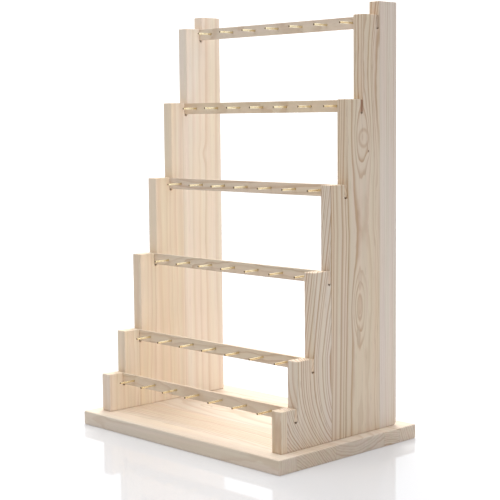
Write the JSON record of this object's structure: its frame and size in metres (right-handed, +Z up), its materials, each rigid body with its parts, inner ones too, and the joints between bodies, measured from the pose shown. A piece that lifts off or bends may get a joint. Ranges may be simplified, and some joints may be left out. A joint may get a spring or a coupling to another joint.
{
  "type": "paint rack organizer",
  "caption": "Free-standing stepped pine rack: two staircase side panels on a base board hold lift-out rails of short brass pegs, on which hobby paints and tools in hang packs are hung.",
  "frame": {"origin": "on the surface the rack stands on, under the middle of the base board", "axes": "+X to the right panel, +Y to the back, away from the pegs, +Z up"},
  "size_m": [0.3, 0.2, 0.444],
  "materials": {
    "base_pine": "sanded bare pine, edge-glued, grain left to right",
    "panel_pine": "sanded bare pine, edge-glued, grain upright",
    "rail_pine": "sanded bare pine strip, grain along the rail",
    "peg_brass": "bright drawn brass",
    "screw_zinc": "zinc plated"
  },
  "bodies": {
    "rack_frame": {"base_board": "base_pine", "left_side_panel": "panel_pine", "right_side_panel": "panel_pine", "screw_left_1": "screw_zinc", "screw_left_2": "screw_zinc", "screw_left_3": "screw_zinc", "screw_right_1": "screw_zinc", "screw_right_2": "screw_zinc", "screw_right_3": "screw_zinc"},
    "row_1": {"rail_1": "rail_pine", "peg_1_1": "peg_brass", "peg_1_2": "peg_brass", "peg_1_3": "peg_brass", "peg_1_4": "peg_brass", "peg_1_5": "peg_brass", "peg_1_6": "peg_brass", "peg_1_7": "peg_brass"},
    "row_2": {"rail_2": "rail_pine", "peg_2_1": "peg_brass", "peg_2_2": "peg_brass", "peg_2_3": "peg_brass", "peg_2_4": "peg_brass", "peg_2_5": "peg_brass", "peg_2_6": "peg_brass", "peg_2_7": "peg_brass"},
    "row_3": {"rail_3": "rail_pine", "peg_3_1": "peg_brass", "peg_3_2": "peg_brass", "peg_3_3": "peg_brass", "peg_3_4": "peg_brass", "peg_3_5": "peg_brass", "peg_3_6": "peg_brass", "peg_3_7": "peg_brass"},
    "row_4": {"rail_4": "rail_pine", "peg_4_1": "peg_brass", "peg_4_2": "peg_brass", "peg_4_3": "peg_brass", "peg_4_4": "peg_brass", "peg_4_5": "peg_brass", "peg_4_6": "peg_brass", "peg_4_7": "peg_brass"},
    "row_5": {"rail_5": "rail_pine", "peg_5_1": "peg_brass", "peg_5_2": "peg_brass", "peg_5_3": "peg_brass", "peg_5_4": "peg_brass", "peg_5_5": "peg_brass", "peg_5_6": "peg_brass", "peg_5_7": "peg_brass"},
    "row_6": {"rail_6": "rail_pine", "peg_6_1": "peg_brass", "peg_6_2": "peg_brass", "peg_6_3": "peg_brass", "peg_6_4": "peg_brass", "peg_6_5": "peg_brass", "peg_6_6": "peg_brass", "peg_6_7": "peg_brass"}
  },
  "joints": [
    {"name": "rail_1_lift", "type": "slide", "parent": "rack_frame", "child": "row_1", "axis": [0, 0, 1], "range_m": [0, 0.016]},
    {"name": "rail_2_lift", "type": "slide", "parent": "rack_frame", "child": "row_2", "axis": [0, 0, 1], "range_m": [0, 0.016]},
    {"name": "rail_3_lift", "type": "slide", "parent": "rack_frame", "child": "row_3", "axis": [0, 0, 1], "range_m": [0, 0.016]},
    {"name": "rail_4_lift", "type": "slide", "parent": "rack_frame", "child": "row_4", "axis": [0, 0, 1], "range_m": [0, 0.016]},
    {"name": "rail_5_lift", "type": "slide", "parent": "rack_frame", "child": "row_5", "axis": [0, 0, 1], "range_m": [0, 0.016]},
    {"name": "rail_6_lift", "type": "slide", "parent": "rack_frame", "child": "row_6", "axis": [0, 0, 1], "range_m": [0, 0.016]}
  ]
}
